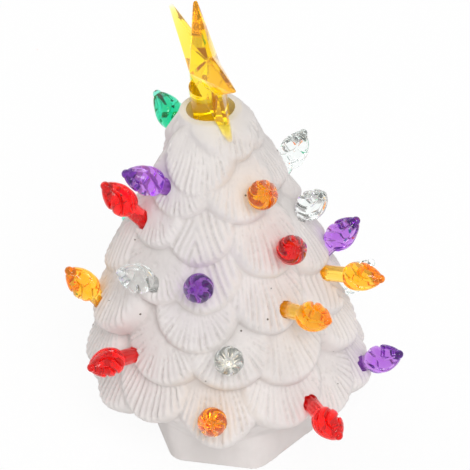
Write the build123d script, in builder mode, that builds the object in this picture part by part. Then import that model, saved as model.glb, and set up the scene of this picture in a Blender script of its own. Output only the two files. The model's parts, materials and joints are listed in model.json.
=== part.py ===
"""Small unglazed ceramic Christmas tree with peg lights, a star and a coin-cell lamp in its foot."""
import os
from math import cos, radians, sin, tan

from build123d import *

# Tree casting
rim_height = 113.5
rim_radius = 8.8
star_hole_radius = 6.9
neck_depth = 10.0
crown_slope_width = 12.0
crown_slope_fall = 12.0
skirt_height = 20.0
skirt_radius = 44.0
crown_radius = 10.0
swell_share = 0.55
bough_rise = 6.5
wall = 4.5
core_height_shares = [0.24, 0.46, 0.72]

# Boughs of the casting
crown_bough_half_width = 10.0
skirt_bough_half_width = 13.5
bough_root_radius = 5.0
bough_length_share = 2.3
bough_thickness = 8.0
bough_ridge_drop = 1.8
bough_edge_width = 2.6
bough_edge_depth = 4.6
crown_bough_slope = 35
skirt_bough_slope = 33

# Each bough: azimuth of its ridge in degrees, its lip's height as a share of the rim height, and its lip's
# reach as a share of the usual one
bough_shares = [
    (-78, 0.875, 0.92), (-23, 0.85, 1.06), (38, 0.915, 1.05), (97, 0.90, 1.0), (157, 0.875, 1.0),
    (-136, 0.885, 1.0),
    (-44, 0.785, 1.0), (26, 0.775, 1.0), (86, 0.79, 1.0), (146, 0.77, 1.0), (-158, 0.765, 1.0),
    (-100, 0.775, 0.93),
    (-62, 0.69, 1.0), (-18, 0.685, 1.0), (37, 0.63, 1.0), (122, 0.66, 1.0), (168, 0.67, 1.0),
    (-146, 0.665, 1.0), (-103, 0.675, 1.0),
    (-48, 0.565, 1.0), (-14, 0.57, 1.0), (28, 0.495, 1.0), (78, 0.55, 1.0), (115, 0.53, 1.0),
    (150, 0.555, 1.0), (-170, 0.545, 1.0), (-128, 0.55, 1.0), (-92, 0.545, 1.08),
    (-73, 0.44, 1.12), (-18, 0.47, 1.0), (74, 0.425, 1.0), (110, 0.41, 1.0), (146, 0.43, 1.0),
    (-175, 0.425, 1.0), (-138, 0.435, 1.0), (-108, 0.41, 1.05),
    (-36, 0.365, 1.0), (0, 0.375, 1.0), (32, 0.35, 1.0), (74, 0.325, 1.02), (128, 0.30, 1.0),
    (164, 0.315, 1.0), (-157, 0.31, 1.0), (-120, 0.305, 1.0), (-86, 0.275, 1.06),
    (-42, 0.245, 1.0), (-7, 0.21, 1.0), (26, 0.235, 1.0), (50, 0.20, 1.0), (76, 0.18, 1.02),
    (105, 0.19, 1.0), (130, 0.205, 1.0), (156, 0.195, 1.0), (-178, 0.205, 1.0), (-150, 0.195, 1.0),
    (-120, 0.205, 1.0), (-94, 0.19, 1.0), (-68, 0.20, 1.0),
]

# Foot of the casting
foot_corner_radius = 27.0
foot_rounding = 6.0
foot_turn = -136
foot_bore_radius = 20.0
ledge_height = 11.2
ledge_width = 2.0
ledge_thickness = 2.8
underside_height = 8.0
foot_flare_radius = 22.5

# Peg lights
peg_radius = 2.35
peg_length = 10.0
peg_hole_clearance = 0.15
head_radius = 4.25
head_length = 11.3
head_widest_share = 0.36
nub_radius = 1.2
nub_rise = 1.0
head_mid_share = 0.80
seat_drop = 6.0
peg_hole_runout = 2.5

# Each light: colour, azimuth and height share of its seat, heading, upward tilt, and the share of its peg
# left showing
light_shares = [
    ("green", -152, 0.83, -140, 38, 0.25),
    ("purple", -49, 0.82, -77, 33, 0.15),
    ("red", -66, 0.70, -85, 54, 0.5),
    ("green", -143, 0.37, -142, 30, 0.3),
    ("amber", -79, 0.408, -84, 57, 0.2),
    ("clear", -43, 0.585, -57, 42, 0.2),
    ("purple", -12, 0.612, -13, 35, 0.2),
    ("red", -51, 0.39, -45, 20, 0.6),
    ("clear", 0, 0.43, 0, 35, 0.22),
    ("amber", -8, 0.265, -8, 35, 0.2),
    ("red", 36, 0.265, 23, 4, 0.62),
    ("purple", 77, 0.205, 62, 31, 0.2),
    ("amber", 33, 0.525, 38, 19, 0.72),
    ("amber", 77, 0.512, 60, 10, 0.68),
    ("clear", 116, 0.265, 110, 35, 0.3),
    ("purple", 88, 0.527, 84, 48, 0.2),
    ("clear", 86, 0.66, 45, 50, 0.3),
    ("clear", 124, 0.69, 95, 62, 0.2),
    ("amber", 40, 0.80, 16, 36, 0.3),
    ("red", 47, 0.65, 18, 36, 0.3),
    ("amber", 172, 0.78, 172, 32, 0.2),
    ("red", -162, 0.67, -162, 32, 0.2),
    ("green", 165, 0.605, 165, 32, 0.2),
    ("purple", -176, 0.555, -176, 32, 0.2),
    ("clear", -163, 0.49, -163, 30, 0.3),
    ("amber", 156, 0.44, 156, 30, 0.25),
    ("red", 162, 0.365, 162, 30, 0.25),
    ("green", -174, 0.37, -174, 30, 0.25),
    ("purple", -158, 0.335, -158, 30, 0.2),
    ("green", 144, 0.275, 144, 28, 0.3),
    ("clear", 162, 0.24, 162, 28, 0.2),
    ("amber", -168, 0.245, -168, 28, 0.2),
    ("red", -140, 0.235, -140, 28, 0.2),
    ("clear", 147, 0.185, 147, 24, 0.25),
]

# Star
star_radius = 23.4
star_waist_share = 0.42
star_half_edge = 0.6
star_half_depth = 4.6
star_turn = 20.8
star_lean = 5.0
star_tip = 5.0
star_height = 14.7
star_stem_radius = 5.2
star_stem_depth = 9.0
star_stem_slot = 1.2
star_stem_top = 8.5
star_seat_clearance = 0.3

# Lamp housing in the foot
housing_clearance = 0.3
housing_wall = 1.6
module_recess = 1.0
cover_thickness = 1.6
screw_boss_radius = 2.0
screw_radius = 0.9
screw_head_radius = 1.7
screw_head_height = 0.8
screw_length = 5.0
screw_clearance = 0.1
screw_side = 13.2
screw_back = 8.5

# Coin cell, its cap and its contacts
cell_radius = 10.0
cell_height = 3.2
cell_center = -5.0
cell_clearance = 0.3
cell_can_step = 0.4
cell_can_inset = 1.4
cap_flange = 1.3
cap_flange_height = 0.8
cap_clearance = 0.15
cap_lip = 0.6
lug_height = 0.8
lug_reach = 1.0
lug_width = 5.0
cap_turn = 45
well_wall = 2.4
coin_slot_width = 1.8
coin_slot_length = 12.0
coin_slot_depth = 0.5
contact_thickness = 0.25
contact_width = 4.0
contact_pad = 3.0
contact_fall = 5.0
well_step = 0.5

# Circuit board, lamp and switch
board_width = 15.0
board_length = 24.0
board_center = 4.0
board_thickness = 1.0
board_rounding = 1.0
lamp_radius = 2.5
lamp_length = 8.6
lamp_flange = 0.4
lamp_flange_height = 1.0
lamp_clearance = 0.2
switch_center = 12.6
switch_width = 4.4
switch_length = 8.6
switch_height = 3.6
knob_width = 2.0
knob_length = 2.4
knob_travel = 2.0
knob_clearance = 0.2
knob_plate = 0.6
knob_proud = 0.4
knob_socket = 2.4

cut_overrun = 30.0


def outward(azimuth):
    """Level unit vector pointing away from the tree's axis; zero faces the front, along -Y."""
    return Vector(sin(radians(azimuth)), -cos(radians(azimuth)), 0)


def sideways(azimuth):
    """Level unit vector along the tree's surface, towards growing azimuth."""
    return Vector(cos(radians(azimuth)), sin(radians(azimuth)), 0)


def tilted(azimuth, tilt):
    """Unit vector pointing outward and raised by the tilt."""
    return outward(azimuth) * cos(radians(tilt)) + Vector(0, 0, sin(radians(tilt)))


def lip_radius(height):
    """Radius of the tree at the bough lips, at a height."""
    fall = (rim_height - height) / (rim_height - skirt_height)
    return crown_radius + (skirt_radius - crown_radius) * fall * (1 + swell_share * (1 - fall))


def between(skirt_value, crown_value, height):
    """Value that runs evenly from the skirt up to the crown."""
    rise = (height - skirt_height) / (rim_height - skirt_height)
    return skirt_value + (crown_value - skirt_value) * rise


# One bough: a round leaf with a ridge down its middle, hanging from the core by its root
def make_bough(azimuth, lip_height, reach_share):
    half_width = between(skirt_bough_half_width, crown_bough_half_width, lip_height)
    slope = between(skirt_bough_slope, crown_bough_slope, lip_height)
    length = half_width * bough_length_share
    normal = tilted(azimuth, slope)
    lip = outward(azimuth) * lip_radius(lip_height) * reach_share + Vector(0, 0, lip_height)
    under_face = Plane(origin=lip - normal * bough_thickness, x_dir=sideways(azimuth), z_dir=normal)
    section = Plane(origin=under_face.origin, x_dir=sideways(azimuth), z_dir=-under_face.y_dir)
    with BuildPart() as bough:
        with BuildSketch(under_face):
            with Locations((0, half_width)):
                Circle(half_width)
            with Locations((0, length - bough_root_radius)):
                Circle(bough_root_radius)
            make_hull()
        extrude(amount=bough_thickness)
        outer_face = bough.faces().sort_by(Axis(lip, normal))[-1]
        chamfer(outer_face.edges(), length=bough_edge_width, length2=bough_edge_depth)
        with BuildSketch(section):
            with BuildLine():
                Polyline(
                    (-half_width, 0),
                    (half_width, 0),
                    (half_width, bough_thickness - bough_ridge_drop),
                    (0, bough_thickness),
                    (-half_width, bough_thickness - bough_ridge_drop),
                    close=True,
                )
            make_face()
        extrude(amount=-length, mode=Mode.INTERSECT)
    return bough.part


# Where a light's peg meets the outside of the tree: the plane's normal runs out along the peg
def light_plane(casting, azimuth, height_share, heading, tilt):
    height = height_share * rim_height
    inner = outward(azimuth) * (lip_radius(height) - seat_drop) + Vector(0, 0, height)
    direction = tilted(heading, tilt)
    hits = casting.find_intersection_points(Axis(inner, direction))
    seat = max((point for point, _ in hits), key=lambda point: (point - inner).dot(direction))
    return Plane(origin=seat, x_dir=sideways(heading), z_dir=direction)


boughs = [make_bough(azimuth, share * rim_height, reach) for azimuth, share, reach in bough_shares]

# Tree casting: core, boughs and six-sided foot in one piece, hollow from below
core_heights = [share * rim_height for share in core_height_shares]
core_points = [(lip_radius(height) - bough_rise, height) for height in core_heights]
hollow_points = [(radius - wall, height) for radius, height in core_points]
with BuildPart() as tree_body:
    with BuildSketch(Plane.XZ):
        with BuildLine():
            Polyline(
                (0, underside_height),
                (foot_flare_radius, underside_height),
                *core_points,
                (star_hole_radius, rim_height + neck_depth),
                (0, rim_height + neck_depth),
                close=True,
            )
        make_face()
    revolve(axis=Axis.Z)
    with BuildSketch():
        RegularPolygon(foot_corner_radius, 6, rotation=foot_turn)
        fillet(vertices(), radius=foot_rounding)
    extrude(amount=core_heights[0])
    add(boughs)
    with BuildSketch(Plane.XZ):
        with BuildLine():
            Polyline(
                (0, rim_height),
                (rim_radius, rim_height),
                (rim_radius + crown_slope_width, rim_height - crown_slope_fall),
                (rim_radius + crown_slope_width, rim_height + cut_overrun),
                (0, rim_height + cut_overrun),
                close=True,
            )
        make_face()
    revolve(axis=Axis.Z, mode=Mode.SUBTRACT)
    light_planes = [light_plane(tree_body.part, *place[1:5]) for place in light_shares]
    with BuildSketch(Plane.XZ):
        with BuildLine():
            Polyline(
                (0, 0),
                (foot_bore_radius, 0),
                (foot_bore_radius, ledge_height),
                (foot_bore_radius - ledge_width, ledge_height),
                (foot_bore_radius - ledge_width, ledge_height + ledge_thickness),
                *hollow_points,
                (star_hole_radius, rim_height - neck_depth),
                (star_hole_radius, rim_height),
                (0, rim_height),
                close=True,
            )
        make_face()
    revolve(axis=Axis.Z, mode=Mode.SUBTRACT)
    with BuildSketch(*light_planes):
        Circle(peg_radius + peg_hole_clearance)
    extrude(amount=peg_length + peg_hole_runout, both=True, mode=Mode.SUBTRACT)


# One peg light: a straight round peg under a flame-shaped head with a small nub
def make_light(seat_plane, shown_share):
    shown = peg_length * shown_share
    widest = shown + head_length * head_widest_share
    neck = shown + head_length
    peg_end = shown - peg_length
    flame_radius = head_radius * head_mid_share
    flame_middle = (neck + widest) / 2
    side_plane = Plane(origin=seat_plane.origin, x_dir=seat_plane.x_dir, z_dir=-seat_plane.y_dir)
    with BuildPart() as peg_light:
        with BuildSketch(side_plane):
            with BuildLine():
                Polyline((peg_radius, shown), (peg_radius, peg_end), (0, peg_end), (0, neck + nub_rise))
                TangentArc((0, neck + nub_rise), (nub_radius, neck), tangent=(1, 0))
                ThreePointArc((nub_radius, neck), (flame_radius, flame_middle), (head_radius, widest))
                TangentArc((head_radius, widest), (peg_radius, shown), tangent=(0, -1))
            make_face()
        revolve(axis=Axis(seat_plane.origin, seat_plane.z_dir))
    return peg_light.part


lights = {}
for number, (place, seat_plane) in enumerate(zip(light_shares, light_planes), start=1):
    name = f"{place[0]}_light_{number:02d}"
    lights[name] = make_light(seat_plane, place[5])

# Star: five faceted points on a thin rim, over a split stem that stands in the hole
star_lean_out = outward(star_turn) * tan(radians(star_lean)) - sideways(star_turn) * tan(radians(star_tip))
star_up = (Vector(0, 0, 1) + star_lean_out).normalized()
star_normal = outward(star_turn).cross(star_up).normalized()
star_across = star_up.cross(star_normal)
star_foot = Vector(0, 0, rim_height)
star_plane = Plane(origin=star_foot + star_up * star_height, x_dir=star_across, z_dir=star_normal)
stem_plane = Plane(origin=star_foot - star_up * star_stem_depth, x_dir=star_across, z_dir=star_up)
star_corners = []
for corner in range(10):
    reach = star_radius if corner % 2 == 0 else star_radius * star_waist_share
    turn = radians(90 + 36 * corner)
    star_corners.append((reach * cos(turn), reach * sin(turn)))
notch_inner = star_hole_radius - star_seat_clearance
notch_top = rim_height + star_seat_clearance
notch_outer = rim_radius + crown_slope_width + star_seat_clearance
with BuildPart() as star_topper:
    for face_sign in (1, -1):
        with BuildSketch(star_plane.offset(star_half_edge * face_sign)) as facet_outline:
            with BuildLine():
                Polyline(*star_corners, close=True)
            make_face()
        peak = star_plane.offset(star_half_depth * face_sign).origin
        loft(sections=[facet_outline.sketch.face(), Vertex(*peak)], ruled=True)
    with BuildSketch(star_plane):
        with BuildLine():
            Polyline(*star_corners, close=True)
        make_face()
    extrude(amount=star_half_edge, both=True)
    with BuildSketch(stem_plane):
        Circle(star_stem_radius)
    extrude(amount=star_stem_depth + star_stem_top)
    with BuildSketch(stem_plane):
        Rectangle(star_stem_slot, star_stem_radius + star_stem_radius)
    extrude(amount=star_stem_depth, mode=Mode.SUBTRACT)
    with BuildSketch(Plane.XZ):
        with BuildLine():
            Polyline(
                (notch_inner, rim_height - neck_depth),
                (notch_inner, notch_top),
                (rim_radius + star_seat_clearance, notch_top),
                (notch_outer, notch_top - crown_slope_fall),
                (notch_outer, rim_height - crown_slope_fall - neck_depth),
                close=True,
            )
        make_face()
    revolve(axis=Axis.Z, mode=Mode.SUBTRACT)

# Heights and radii that the lamp's pieces share
housing_radius = foot_bore_radius - housing_clearance
cover_top = module_recess + cover_thickness
plate_under = ledge_height - housing_wall
board_under = plate_under - board_thickness
well_radius = cell_radius + cell_clearance
lip_under = module_recess + cap_flange_height + cap_clearance
lip_top = lip_under + cap_lip
groove_top = lip_top + lug_height + cap_clearance + cap_clearance
plug_radius = well_radius - cap_clearance
lug_radius = plug_radius + lug_reach
groove_radius = lug_radius + cap_clearance
cell_floor = groove_top + cap_clearance
cell_top = cell_floor + cell_height
screw_places = [(-screw_side, screw_back), (screw_side, screw_back)]
slot_length = knob_length + knob_travel + knob_clearance + knob_clearance
slot_width = knob_width + knob_clearance + knob_clearance
switch_under = board_under - switch_height

# Lamp housing: a round plastic cup, open below, that butts against the ledge in the foot
with BuildPart() as light_housing:
    with BuildSketch(Plane.XY.offset(cover_top)):
        Circle(housing_radius)
    extrude(amount=ledge_height - cover_top)
    with BuildSketch(Plane.XY.offset(cover_top)):
        Circle(housing_radius - housing_wall)
        with Locations(*screw_places):
            Circle(screw_boss_radius, mode=Mode.SUBTRACT)
    extrude(amount=plate_under - cover_top, mode=Mode.SUBTRACT)
    with BuildSketch(Plane.XY.offset(cover_top)):
        with Locations(*screw_places):
            Circle(screw_radius + screw_clearance)
    extrude(amount=screw_length, mode=Mode.SUBTRACT)
    with BuildSketch(Plane.XY.offset(plate_under)):
        Circle(lamp_radius + lamp_flange + lamp_clearance)
    extrude(amount=housing_wall, mode=Mode.SUBTRACT)

# Base cover: a disc screwed under the housing, with the cell's well, the cap's lip and the switch slot
with BuildPart() as base_cover:
    with BuildSketch(Plane.XY.offset(module_recess)):
        Circle(housing_radius)
    extrude(amount=cover_thickness)
    with BuildSketch(Plane.XY.offset(cover_top)):
        with Locations((0, cell_center)):
            Circle(well_radius + well_wall)
    extrude(amount=cell_top - well_step - cover_top)
    with BuildSketch(Plane.XY.offset(module_recess)):
        with Locations((0, cell_center)):
            Circle(well_radius)
    extrude(amount=cell_top - module_recess, mode=Mode.SUBTRACT)
    with BuildSketch(Plane.XY.offset(module_recess)):
        with Locations((0, cell_center)):
            Circle(well_radius + cap_flange + cap_clearance)
    extrude(amount=lip_under - module_recess, mode=Mode.SUBTRACT)
    with BuildSketch(Plane.XY.offset(lip_top)):
        with Locations((0, cell_center)):
            Circle(groove_radius)
    extrude(amount=groove_top - lip_top, mode=Mode.SUBTRACT)
    with BuildSketch(Plane.XY.offset(lip_under)):
        with Locations(Location((0, cell_center), cap_turn)):
            Rectangle(groove_radius + groove_radius, lug_width + cap_clearance + cap_clearance)
        with Locations((0, cell_center)):
            Circle(groove_radius, mode=Mode.INTERSECT)
    extrude(amount=cap_lip, mode=Mode.SUBTRACT)
    with BuildSketch(Plane.XY.offset(cover_top)):
        with Locations((0, cell_center + well_radius)):
            Rectangle(contact_width + cell_clearance, contact_thickness + contact_thickness)
    extrude(amount=cell_top, mode=Mode.SUBTRACT)
    with BuildSketch(Plane.XY.offset(module_recess)):
        with Locations((0, switch_center)):
            Rectangle(slot_length, slot_width)
        with Locations(*screw_places):
            Circle(screw_radius + screw_clearance)
    extrude(amount=cover_thickness, mode=Mode.SUBTRACT)
    with BuildSketch(Plane.XY.offset(module_recess)):
        with Locations(*screw_places):
            Circle(screw_head_radius + screw_clearance)
    extrude(amount=screw_head_height, mode=Mode.SUBTRACT)

# Cover screws: two pan heads sunk in the cover
with BuildPart() as cover_screws:
    with BuildSketch(Plane.XY.offset(module_recess)):
        with Locations(*screw_places):
            Circle(screw_head_radius)
    extrude(amount=screw_head_height)
    with BuildSketch(Plane.XY.offset(module_recess + screw_head_height)):
        with Locations(*screw_places):
            Circle(screw_radius)
    extrude(amount=screw_length)

# Battery cap: turns in the cover's lip on two lugs, with a slot for a coin
with BuildPart() as battery_cap:
    with BuildSketch(Plane.XY.offset(module_recess)):
        with Locations((0, cell_center)):
            Circle(well_radius + cap_flange)
    extrude(amount=cap_flange_height)
    with BuildSketch(Plane.XY.offset(module_recess + cap_flange_height)):
        with Locations((0, cell_center)):
            Circle(plug_radius)
    extrude(amount=groove_top - module_recess - cap_flange_height)
    with BuildSketch(Plane.XY.offset(lip_top + cap_clearance)):
        with Locations((0, cell_center)):
            Rectangle(lug_radius + lug_radius, lug_width)
            Circle(lug_radius, mode=Mode.INTERSECT)
    extrude(amount=lug_height)
    with BuildSketch(Plane.XY.offset(module_recess)):
        with Locations((0, cell_center)):
            SlotOverall(coin_slot_length, coin_slot_width)
    extrude(amount=coin_slot_depth, mode=Mode.SUBTRACT)

# Coin cell: wide can below, smaller can above
with BuildPart() as coin_cell:
    with BuildSketch(Plane.XY.offset(cell_floor)):
        with Locations((0, cell_center)):
            Circle(cell_radius)
    extrude(amount=cell_height - cell_can_step)
    with BuildSketch(Plane.XY.offset(cell_top - cell_can_step)):
        with Locations((0, cell_center)):
            Circle(cell_radius - cell_can_inset)
    extrude(amount=cell_can_step)

# Circuit board under the housing's top plate
with BuildPart() as circuit_board:
    with BuildSketch(Plane.XY.offset(board_under)):
        with Locations((0, board_center)):
            RectangleRounded(board_width, board_length, board_rounding)
    extrude(amount=board_thickness)

# Top contact: a bent brass leaf from the board down to the top of the cell
with BuildPart() as top_contact:
    with BuildSketch(Plane.YZ.offset(-contact_width / 2)):
        with BuildLine():
            Polyline(
                (0, board_under),
                (-contact_pad, board_under),
                (-contact_fall, cell_top + contact_thickness),
                (-contact_fall - contact_pad, cell_top + contact_thickness),
                (-contact_fall - contact_pad, cell_top),
                (-contact_fall, cell_top),
                (-contact_pad, board_under - contact_thickness),
                (0, board_under - contact_thickness),
                close=True,
            )
        make_face()
    extrude(amount=contact_width)

# Side contact: a straight brass strip from the board down beside the cell
with BuildPart() as side_contact:
    with BuildSketch(Plane.XY.offset(cell_floor + cell_can_step)):
        with Locations((0, cell_center + cell_radius)):
            Rectangle(contact_width, contact_thickness, align=(Align.CENTER, Align.MIN))
    extrude(amount=board_under - cell_floor - cell_can_step)

# Lamp: a round-nosed light-emitting diode standing on the board
with BuildPart() as led_lamp:
    with BuildSketch(Plane.XZ):
        with BuildLine():
            Polyline(
                (0, plate_under + lamp_length),
                (0, plate_under),
                (lamp_radius + lamp_flange, plate_under),
                (lamp_radius + lamp_flange, plate_under + lamp_flange_height),
                (lamp_radius, plate_under + lamp_flange_height),
                (lamp_radius, plate_under + lamp_length - lamp_radius),
            )
            TangentArc(
                (lamp_radius, plate_under + lamp_length - lamp_radius),
                (0, plate_under + lamp_length),
                tangent=(0, 1),
            )
        make_face()
    revolve(axis=Axis.Z)

# Switch body under the board, with a socket that guides the slider
with BuildPart() as switch_body:
    with BuildSketch(Plane.XY.offset(switch_under)):
        with Locations((0, switch_center)):
            Rectangle(switch_length, switch_width)
    extrude(amount=switch_height)
    with BuildSketch(Plane.XY.offset(switch_under)):
        with Locations((0, switch_center)):
            Rectangle(slot_length, slot_width)
    extrude(amount=knob_socket, mode=Mode.SUBTRACT)

# Switch slider: a small bar through the cover, with a plate that keeps dust out of the slot
with BuildPart() as switch_slider:
    with BuildSketch(Plane.XY.offset(module_recess - knob_proud)):
        with Locations((-knob_travel / 2, switch_center)):
            Rectangle(knob_length, knob_width)
    extrude(amount=switch_under + knob_socket - knob_clearance - module_recess + knob_proud)
    with BuildSketch(Plane.XY.offset(cover_top + knob_clearance)):
        with Locations((-knob_travel / 2, switch_center)):
            Rectangle(slot_length + knob_travel, slot_width + knob_clearance)
    extrude(amount=knob_plate)

pieces = {
    "tree_body": tree_body.part,
    "star_topper": star_topper.part,
    "light_housing": light_housing.part,
    "base_cover": base_cover.part,
    "cover_screws": cover_screws.part,
    "battery_cap": battery_cap.part,
    "coin_cell": coin_cell.part,
    "circuit_board": circuit_board.part,
    "top_contact": top_contact.part,
    "side_contact": side_contact.part,
    "led_lamp": led_lamp.part,
    "switch_body": switch_body.part,
    "switch_slider": switch_slider.part,
    **lights,
}
os.makedirs("parts", exist_ok=True)
for name, piece in pieces.items():
    piece.label = name
    export_step(piece, f"parts/{name}.step")
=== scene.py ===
"""Unglazed ceramic Christmas tree with push-in peg lights, a star and a lamp in its foot."""
import json
import math

import bpy
import numpy as np
from mathutils import Matrix, Vector


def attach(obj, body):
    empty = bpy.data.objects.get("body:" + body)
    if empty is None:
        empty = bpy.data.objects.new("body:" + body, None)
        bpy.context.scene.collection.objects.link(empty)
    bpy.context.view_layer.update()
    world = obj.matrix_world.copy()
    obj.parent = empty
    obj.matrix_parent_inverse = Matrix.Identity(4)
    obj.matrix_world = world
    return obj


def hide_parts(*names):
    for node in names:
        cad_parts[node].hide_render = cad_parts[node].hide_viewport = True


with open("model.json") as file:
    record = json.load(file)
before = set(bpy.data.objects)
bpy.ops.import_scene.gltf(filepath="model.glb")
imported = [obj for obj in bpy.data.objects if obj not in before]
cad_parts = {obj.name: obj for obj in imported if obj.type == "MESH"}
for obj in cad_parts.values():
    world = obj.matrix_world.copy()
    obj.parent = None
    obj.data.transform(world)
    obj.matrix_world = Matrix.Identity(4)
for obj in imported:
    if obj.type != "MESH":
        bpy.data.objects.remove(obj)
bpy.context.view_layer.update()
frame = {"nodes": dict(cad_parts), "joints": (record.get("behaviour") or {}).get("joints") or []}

# Ceramic tree
# One slip casting of matte white bisque: round ribbed boughs overlap on a hollow core over a six-sided foot.
# Geometry Nodes place the boughs, a voxel remesh fuses them softly, then the hollow and peg holes are cut.

# Lengths are in millimetres and turns in degrees, unless a comment says otherwise. SWELL bows the tree's side
# out, CORE_SHARES are heights on the core as shares of the rim's, and CROWN_KEEP is how much of what stands
# above the crown's slope is left.
MM = 0.001
RIM_HEIGHT = 113.5
RIM_RADIUS = 8.8
STAR_HOLE_RADIUS = 6.9
NECK_DEPTH = 10.0
CROWN_WIDTH = 12.0
CROWN_FALL = 12.0
CROWN_KEEP = 0.08
SKIRT_HEIGHT = 20.0
SKIRT_RADIUS = 44.0
CROWN_RADIUS = 10.0
SWELL = 0.55
BOUGH_RISE = 6.5
WALL = 4.5
CORE_SHARES = (0.24, 0.46, 0.72)
UNDERSIDE_HEIGHT = 8.0
FLARE_RADIUS = 22.5

# Boughs, as azimuth of the ridge, share of the rim height, share of the usual reach, kind
BOUGHS = (
    (-78, 0.875, 0.92, 1), (-23, 0.85, 1.06, 1), (38, 0.915, 1.05, 1), (97, 0.90, 1.0, 0),
    (157, 0.875, 1.0, 1), (-136, 0.885, 1.0, 3),
    (-44, 0.785, 1.0, 0), (26, 0.775, 1.0, 4), (86, 0.79, 1.0, 1), (146, 0.77, 1.0, 0),
    (-158, 0.765, 1.0, 2), (-100, 0.775, 0.93, 1),
    (-62, 0.69, 1.0, 0), (-18, 0.685, 1.0, 3), (37, 0.63, 1.0, 1), (122, 0.66, 1.0, 1),
    (168, 0.67, 1.0, 0), (-146, 0.665, 1.0, 3), (-103, 0.675, 1.0, 2),
    (-48, 0.565, 1.0, 0), (-14, 0.57, 1.0, 3), (28, 0.495, 1.0, 1), (78, 0.55, 1.0, 1),
    (115, 0.53, 1.0, 0), (150, 0.555, 1.0, 2), (-170, 0.545, 1.0, 1), (-128, 0.55, 1.0, 0),
    (-92, 0.545, 1.08, 3),
    (-73, 0.44, 1.12, 1), (-18, 0.47, 1.0, 0), (74, 0.425, 1.0, 2), (110, 0.41, 1.0, 0),
    (146, 0.43, 1.0, 1), (-175, 0.425, 1.0, 0), (-138, 0.435, 1.0, 3), (-108, 0.41, 1.05, 1),
    (-36, 0.365, 1.0, 0), (0, 0.375, 1.0, 0), (32, 0.35, 1.0, 4), (74, 0.325, 1.02, 1),
    (128, 0.30, 1.0, 3), (164, 0.315, 1.0, 0), (-157, 0.31, 1.0, 2), (-120, 0.305, 1.0, 0),
    (-86, 0.275, 1.06, 1),
    (-42, 0.245, 1.0, 1), (-7, 0.21, 1.0, 5), (26, 0.235, 1.0, 4), (50, 0.20, 1.0, 0),
    (76, 0.18, 1.02, 1), (105, 0.19, 1.0, 0), (130, 0.205, 1.0, 3), (156, 0.195, 1.0, 1),
    (-178, 0.205, 1.0, 0), (-150, 0.195, 1.0, 2), (-120, 0.205, 1.0, 1), (-94, 0.19, 1.0, 0),
    (-68, 0.20, 1.0, 1),
)

# A bough's length is in half widths; its width and its slope change evenly from the skirt to the crown
CROWN_HALF_WIDTH = 10.0
SKIRT_HALF_WIDTH = 13.5
CROWN_SLOPE = 35
SKIRT_SLOPE = 33
BOUGH_LENGTH = 2.3
BOUGH_ROOT = 5.0
BOUGH_THICKNESS = 8.0

# Kinds of bough: how far the sides draw in to a point, how far they fall from the ridge, the lean of the
# ribs from the ridge or, where they fan out, how far up the bough they meet, and the ribs' depth
BOUGH_KINDS = (
    (0.00, 0.5, 0, 0.68, 0.9),
    (0.05, 1.0, 0, 1.25, 1.1),
    (0.11, 1.7, 26, 0, 0.9),
    (0.06, 1.8, 21, 0, 0.9),
    (0.02, 0.6, 0, 1.00, 0.7),
    (0.10, 0.9, 0, 1.10, 1.1),
)


class Value:
    """An output of a shader node; arithmetic on it adds Math nodes to its node tree."""

    def __init__(self, shading, output):
        self.shading = shading
        self.output = output

    def math(self, operation, first, second):
        sockets = {"Value": first, "Value_001": second}
        return add_node(self.shading, "ShaderNodeMath", sockets, operation=operation)["Value"]

    def __add__(self, other):
        return self.math("ADD", self, other)

    def __radd__(self, other):
        return self.math("ADD", other, self)

    def __sub__(self, other):
        return self.math("SUBTRACT", self, other)

    def __rsub__(self, other):
        return self.math("SUBTRACT", other, self)

    def __mul__(self, other):
        return self.math("MULTIPLY", self, other)

    def __rmul__(self, other):
        return self.math("MULTIPLY", other, self)

    def below(self, limit):
        return self.math("LESS_THAN", self, limit)

    def above(self, limit):
        return self.math("GREATER_THAN", self, limit)

    def larger(self, other):
        return self.math("MAXIMUM", self, other)

    def ramp(self, low, high):
        sockets = {"Value": self, "From Min": low, "From Max": high}
        ramp = add_node(self.shading, "ShaderNodeMapRange", sockets, interpolation_type="SMOOTHSTEP")
        return ramp["Result"]


def add_node(shading, node_type, sockets=None, **settings):
    """A new node's outputs: its settings are made first, then its sockets get their values or links."""
    node = shading.nodes.new(node_type)
    for key, setting in settings.items():
        setattr(node, key, setting)
    entries = {entry.identifier: entry for entry in node.inputs}
    for key, value in (sockets or {}).items():
        if isinstance(value, Value):
            shading.links.new(value.output, entries[key])
        else:
            entries[key].default_value = value
    return {output.identifier: Value(shading, output) for output in node.outputs}


def opaque(color):
    """A colour with its alpha; a node's output stays as it is."""
    return color if isinstance(color, Value) else (*color, 1)


def material(name, color, roughness, **constants):
    """A new material with constant values on its shader's sockets, named with _ for a space."""
    result = bpy.data.materials.new(name)
    result.use_nodes = True
    shader = result.node_tree.nodes["Principled BSDF"]
    shader.inputs["Base Color"].default_value = opaque(color)
    shader.inputs["Roughness"].default_value = roughness
    for key, value in constants.items():
        shader.inputs[key.replace("_", " ")].default_value = value
    result.diffuse_color = opaque(color)
    return result


def feed(shading, socket, value):
    """Links a value to a socket of the main shader."""
    shading.links.new(value.output, shading.nodes["Principled BSDF"].inputs[socket])


def texture(shading, node_type, **sockets):
    """A texture's outputs, on the object's own coordinates."""
    coordinates = add_node(shading, "ShaderNodeTexCoord")["Object"]
    return add_node(shading, node_type, {"Vector": coordinates, **sockets})


def mix_color(shading, factor, first, second):
    """A colour between two, each of which is a colour or a node's output."""
    sockets = {"Factor_Float": factor, "A_Color": opaque(first), "B_Color": opaque(second)}
    return add_node(shading, "ShaderNodeMix", sockets, data_type="RGBA")["Result_Color"]


def relief(shading, height, depth, strength):
    """Bump on the main shader from a height that runs from 0 to 1 over the depth."""
    sockets = {"Strength": strength, "Distance": depth * MM, "Height": height}
    feed(shading, "Normal", add_node(shading, "ShaderNodeBump", sockets)["Normal"])


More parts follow.
